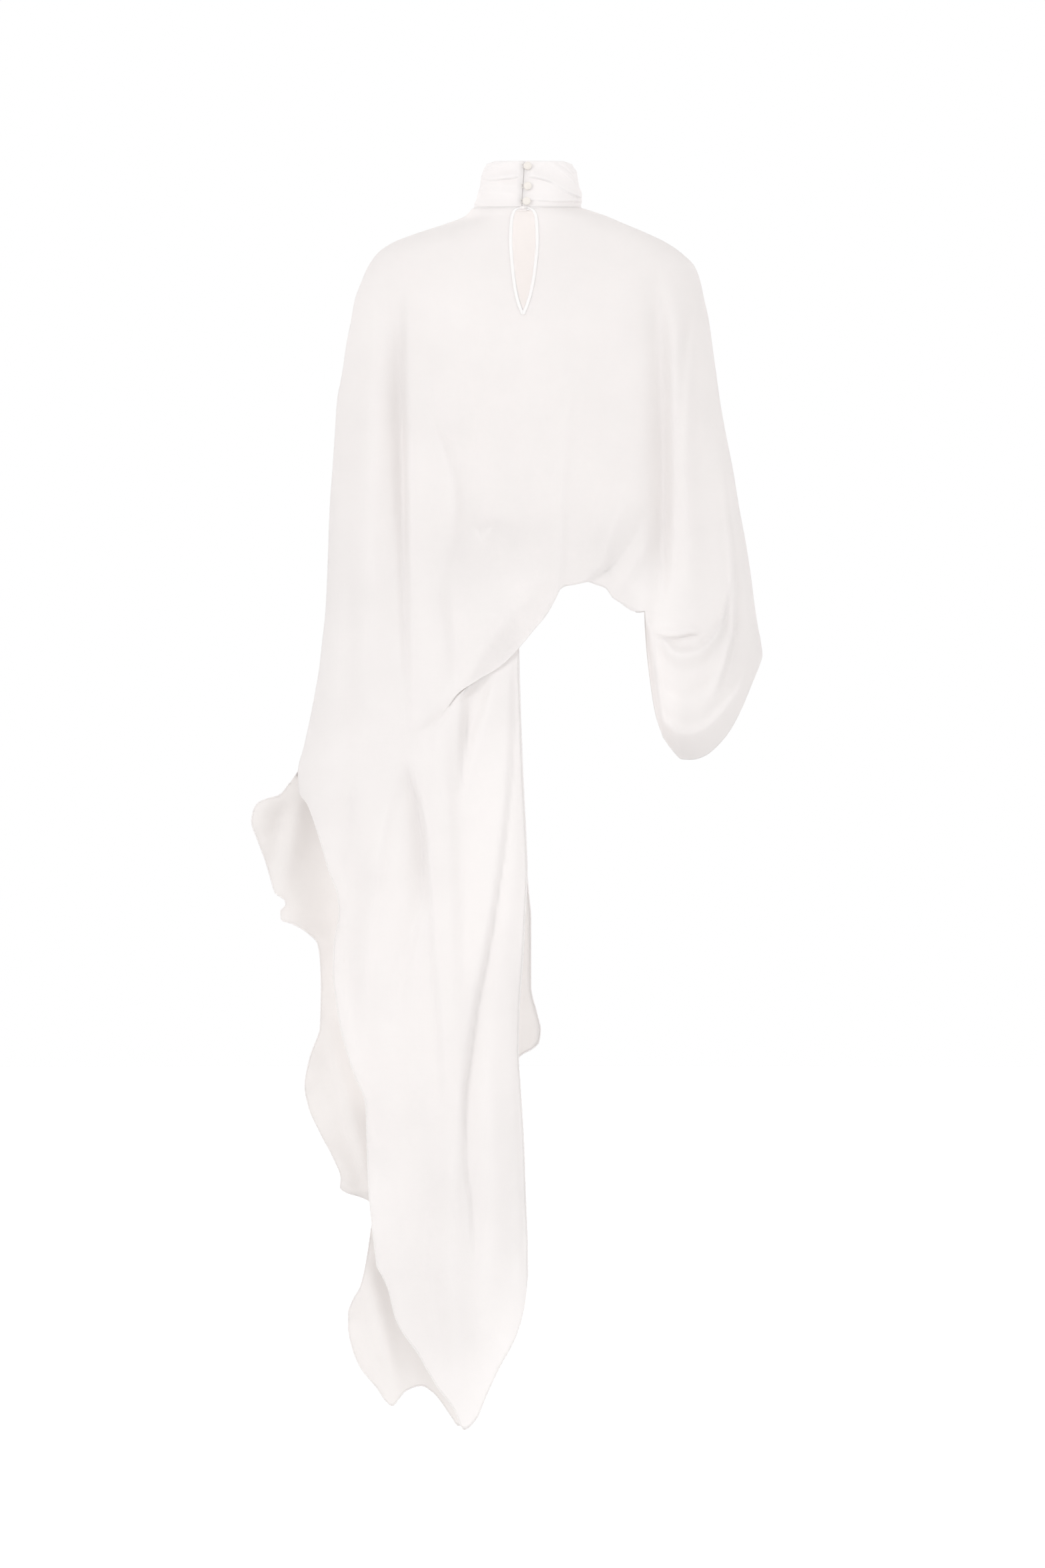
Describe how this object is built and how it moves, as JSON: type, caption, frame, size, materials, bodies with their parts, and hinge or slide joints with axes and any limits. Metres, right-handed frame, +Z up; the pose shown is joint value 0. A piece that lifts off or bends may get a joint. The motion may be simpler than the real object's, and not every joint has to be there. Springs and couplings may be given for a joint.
{
  "type": "cape blouse",
  "caption": "Draped stand-collar blouse with one batwing sleeve, a long trailing cape side, a keyhole back and small covered buttons.",
  "frame": {"origin": "middle of the neck's base, where the wearer's neck and shoulders hold the garment, on the line where the collar closes", "axes": "+Z up, +X to the wearer's right, +Y to the wearer's front; the picture's view looks along +Y at the garment's back"},
  "size_m": [0.6901, 0.2517, 1.7081],
  "materials": {
    "shell": "matt white crepe",
    "lining": "matt white",
    "button": "cream, cloth covered",
    "thread": "matt white thread"
  },
  "bodies": {
    "root": {"back_panel": "shell", "front_panel": "shell", "hem_band": "lining", "collar": "shell", "keyhole_binding": "shell", "button_top": "button", "button_mid": "button", "button_low": "button", "loop_top": "thread", "loop_mid": "thread", "loop_low": "thread"}
  },
  "joints": []
}
